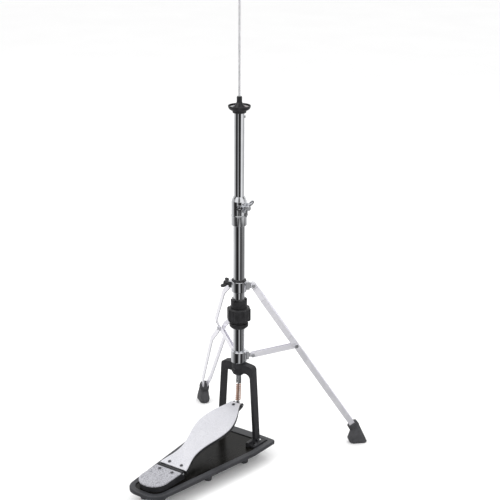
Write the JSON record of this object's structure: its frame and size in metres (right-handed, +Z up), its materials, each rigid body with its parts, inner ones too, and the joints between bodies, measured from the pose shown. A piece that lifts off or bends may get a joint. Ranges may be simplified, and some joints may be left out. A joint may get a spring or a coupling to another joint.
{
  "type": "hi-hat stand",
  "caption": "Hi-hat stand with a pedal, a spring-loaded pull rod in a telescopic chrome tube, a cymbal seat and two folding strap legs on sliding collars.",
  "frame": {"origin": "on the floor, under the axis of the tube", "axes": "+Z up along the tube and the pull rod, +X the player's right, +Y away from the player"},
  "size_m": [0.5311, 0.6359, 1.1633],
  "materials": {
    "chrome": "polished",
    "black_cast": "satin powder coat",
    "black_panel": "gloss",
    "black_plastic": "satin",
    "rubber": "matt",
    "silver": "satin silver",
    "steel": "satin",
    "coil": "copper tinted spring wire",
    "nylon": "natural",
    "dark_steel": "blackened"
  },
  "bodies": {
    "stand": {"base_plate": "black_cast", "base_panel": "black_panel", "base_feet": "rubber", "foot_screws": "steel", "yoke": "black_cast", "yoke_bolts": "chrome", "tube_set_screw": "dark_steel", "rod_guide": "nylon", "lower_tube": "chrome", "adjuster_base": "black_plastic", "adjuster_sleeve": "black_plastic", "heel_plate": "silver", "heel_screws": "chrome", "heel_block": "black_cast", "hinge_pin": "chrome", "heel_bolts": "steel", "clamp_body": "chrome", "clamp_liner": "black_plastic", "clamp_screw": "chrome", "return_spring": "steel"},
    "footboard": {"footboard_plate": "silver", "footboard_frame": "black_cast", "footboard_screws": "chrome", "toe_bracket": "dark_steel", "toe_pin": "steel"},
    "pull_rod": {"rod_socket": "chrome", "socket_screw": "dark_steel", "link_pin": "steel", "lower_pull_rod": "steel", "cymbal_rod": "chrome", "rod_coupler": "steel", "spring_cap": "steel"},
    "link": {"link_rod": "steel", "link_spring": "coil"},
    "tension_ring": {"tension_ring": "black_plastic"},
    "spring_seat": {"adjuster_nut": "steel", "spring_seat": "steel", "seat_pins": "steel"},
    "upper_tube": {"upper_tube": "chrome", "seat_cup": "black_plastic", "seat_washer": "nylon", "top_bush": "nylon", "seat_screw": "chrome"},
    "clamp_wing": {"clamp_wing": "chrome"},
    "lower_collar": {"lower_collar": "chrome", "lower_pivot_bolts": "chrome"},
    "upper_collar": {"upper_collar": "chrome", "collar_liner": "black_plastic", "upper_pivot_bolts": "chrome"},
    "collar_wing": {"collar_wing": "black_plastic"},
    "right_leg": {"right_leg_straps": "chrome", "right_leg_rivets": "chrome", "right_leg_foot": "rubber"},
    "left_leg": {"left_leg_straps": "chrome", "left_leg_rivets": "chrome", "left_leg_foot": "rubber"},
    "right_strut": {"right_strut": "chrome"},
    "left_strut": {"left_strut": "chrome"}
  },
  "joints": [
    {"name": "footboard_press", "type": "hinge", "parent": "stand", "child": "footboard", "pos_m": [0, -0.27579, 0.054], "axis": [-1, 0, 0], "range_deg": [0, 7.5]},
    {"name": "rod_pull", "type": "slide", "parent": "stand", "child": "pull_rod", "axis": [0, 0, -1], "range_m": [0, 0.03613], "stiffness_N_per_m": 900, "springref_m": -0.03, "deforming": ["return_spring"]},
    {"name": "link_swing", "type": "hinge", "parent": "pull_rod", "child": "link", "pos_m": [0, 0, 0.1946], "axis": [1, 0, 0], "range_deg": [0, 6.45]},
    {"name": "tension_turn", "type": "hinge", "parent": "stand", "child": "tension_ring", "pos_m": [0, 0, 0.3596], "axis": [0, 0, 1], "range_deg": [0, 360]},
    {"name": "tension_seat", "type": "slide", "parent": "stand", "child": "spring_seat", "axis": [0, 0, -1], "range_m": [0, 0.003]},
    {"name": "height_slide", "type": "slide", "parent": "stand", "child": "upper_tube", "axis": [0, 0, 1], "range_m": [-0.08, 0.06]},
    {"name": "clamp_wing_turn", "type": "hinge", "parent": "stand", "child": "clamp_wing", "pos_m": [0.02294, -0.0016, 0.6593], "axis": [0.9976, -0.0698, 0], "range_deg": [-90, 90]},
    {"name": "leg_swivel", "type": "hinge", "parent": "stand", "child": "lower_collar", "pos_m": [0, 0, 0.2476], "axis": [0, 0, 1], "range_deg": [-12, 2]},
    {"name": "leg_fold", "type": "slide", "parent": "lower_collar", "child": "upper_collar", "axis": [0, 0, 1], "range_m": [0, 0.12438]},
    {"name": "collar_wing_turn", "type": "hinge", "parent": "upper_collar", "child": "collar_wing", "pos_m": [-0.02552, -0.00496, 0.4546], "axis": [-0.9816, -0.1908, 0], "range_deg": [-40, 40]},
    {"name": "right_leg_fold", "type": "hinge", "parent": "upper_collar", "child": "right_leg", "pos_m": [0.02539, 0.02495, 0.4526], "axis": [-0.7009, 0.7133, 0], "range_deg": [0, 27.9]},
    {"name": "right_strut_fold", "type": "hinge", "parent": "lower_collar", "child": "right_strut", "pos_m": [0.02568, 0.02523, 0.2641], "axis": [0.7009, -0.7133, 0], "range_deg": [0, 69.84]},
    {"name": "left_leg_fold", "type": "hinge", "parent": "upper_collar", "child": "left_leg", "pos_m": [-0.0292, 0.02037, 0.4526], "axis": [-0.5721, -0.8202, 0], "range_deg": [0, 27.9]},
    {"name": "left_strut_fold", "type": "hinge", "parent": "lower_collar", "child": "left_strut", "pos_m": [-0.02952, 0.0206, 0.2641], "axis": [0.5721, 0.8202, 0], "range_deg": [0, 69.84]}
  ],
  "couplings": [
    {"joint": "rod_pull", "follows": "footboard_press", "m_per_rad": 0.27602},
    {"joint": "link_swing", "follows": "footboard_press", "ratio": 0.86013},
    {"joint": "tension_seat", "follows": "tension_turn", "m_per_rad": 0.00047746},
    {"joint": "right_leg_fold", "follows": "leg_fold", "rad_per_m": 3.9143},
    {"joint": "right_strut_fold", "follows": "leg_fold", "rad_per_m": 9.8005},
    {"joint": "left_leg_fold", "follows": "leg_fold", "rad_per_m": 3.9143},
    {"joint": "left_strut_fold", "follows": "leg_fold", "rad_per_m": 9.8005}
  ]
}
